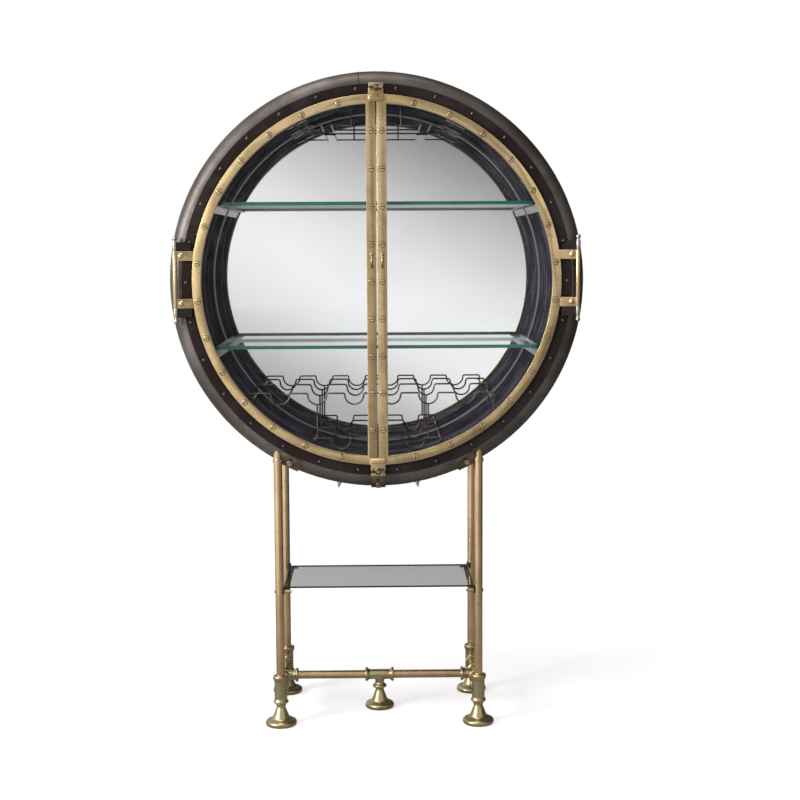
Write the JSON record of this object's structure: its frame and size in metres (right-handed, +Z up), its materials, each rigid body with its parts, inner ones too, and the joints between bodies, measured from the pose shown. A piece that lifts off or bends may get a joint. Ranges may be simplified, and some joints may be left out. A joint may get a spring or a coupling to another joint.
{
  "type": "wine display cabinet",
  "caption": "Round drum wine display cabinet with two glazed brass-ringed doors, glass shelves, wire bottle and stemware racks, on a brass tube stand with round feet.",
  "frame": {"origin": "centre of the footprint on the floor", "axes": "+X to the right as seen from the front, +Y from the doors towards the back, +Z up; the doors face -Y"},
  "size_m": [1.2098, 0.433, 1.93],
  "materials": {
    "skin": "bronze-grey sheet metal, aged, satin",
    "flange_iron": "blackened iron, satin",
    "plywood": "raw plywood inside the wall",
    "liner_iron": "blotchy dark iron, half matt",
    "mirror_silver": "clear silvered mirror",
    "shelf_glass": "clear glass with green edges",
    "wire_steel": "dark steel wire",
    "dark_steel": "dark grey steel, half matt",
    "polished_brass": "satin aged brass",
    "antique_brass": "olive antique brass castings",
    "door_glass": "clear glass",
    "smoked_glass": "smoked glass"
  },
  "bodies": {
    "case": {"outer_skin": "skin", "front_flange": "flange_iron", "rear_flange": "flange_iron", "flange_rivets": "flange_iron", "rear_screws": "flange_iron", "front_hoop": "plywood", "rear_hoop": "plywood", "spacer_battens": "plywood", "inner_liner": "liner_iron", "liner_rivets": "liner_iron", "mirror": "mirror_silver", "back_panel": "plywood", "upper_glass_shelf": "shelf_glass", "lower_glass_shelf": "shelf_glass", "shelf_rails": "liner_iron", "stemware_rack": "wire_steel", "upper_rack_front_wire": "wire_steel", "upper_rack_rear_wire": "wire_steel", "lower_rack_front_wire": "wire_steel", "lower_rack_rear_wire": "wire_steel", "rack_ties": "wire_steel", "hinge_knuckles": "flange_iron", "hinge_pins": "dark_steel", "latch_studs": "polished_brass", "bottom_bracket": "dark_steel", "leg_brackets": "dark_steel", "case_bolts": "dark_steel", "front_left_leg": "polished_brass", "front_right_leg": "polished_brass", "rear_left_leg": "polished_brass", "rear_right_leg": "polished_brass", "leg_collars": "polished_brass", "leg_couplings": "antique_brass", "corner_feet": "antique_brass", "centre_foot": "antique_brass", "centre_tee": "antique_brass", "side_tees": "antique_brass", "stretcher_tubes": "polished_brass", "stand_shelf_rails": "dark_steel", "stand_glass_shelf": "smoked_glass", "shelf_bolts": "polished_brass"},
    "left_door": {"left_door_frame": "polished_brass", "left_door_glass": "door_glass", "left_retainer": "flange_iron", "left_door_screws": "polished_brass", "left_pull": "polished_brass", "left_hinge_strap": "polished_brass", "left_hinge_rivets": "polished_brass"},
    "right_door": {"right_door_frame": "polished_brass", "right_door_glass": "door_glass", "right_retainer": "flange_iron", "right_door_screws": "polished_brass", "right_pull": "polished_brass", "right_hinge_strap": "polished_brass", "right_hinge_rivets": "polished_brass"},
    "top_dog": {"top_dog": "polished_brass"},
    "bottom_dog": {"bottom_dog": "polished_brass"},
    "top_wing_nut": {"top_wing_nut": "dark_steel"},
    "bottom_wing_nut": {"bottom_wing_nut": "dark_steel"}
  },
  "joints": [
    {"name": "left_door_hinge", "type": "hinge", "parent": "case", "child": "left_door", "pos_m": [-0.583, -0.188, 1.333], "axis": [0, 0, -1], "range_deg": [0, 110]},
    {"name": "right_door_hinge", "type": "hinge", "parent": "case", "child": "right_door", "pos_m": [0.583, -0.188, 1.333], "axis": [0, 0, 1], "range_deg": [0, 110]},
    {"name": "top_dog_turn", "type": "hinge", "parent": "case", "child": "top_dog", "pos_m": [0, -0.196, 1.878], "axis": [0, 1, 0], "range_deg": [0, 180]},
    {"name": "bottom_dog_turn", "type": "hinge", "parent": "case", "child": "bottom_dog", "pos_m": [0, -0.196, 0.772], "axis": [0, 1, 0], "range_deg": [0, 180]},
    {"name": "top_wing_nut_spin", "type": "hinge", "parent": "case", "child": "top_wing_nut", "pos_m": [0, -0.2075, 1.878], "axis": [0, 1, 0], "continuous": true},
    {"name": "bottom_wing_nut_spin", "type": "hinge", "parent": "case", "child": "bottom_wing_nut", "pos_m": [0, -0.2075, 0.772], "axis": [0, 1, 0], "continuous": true}
  ]
}
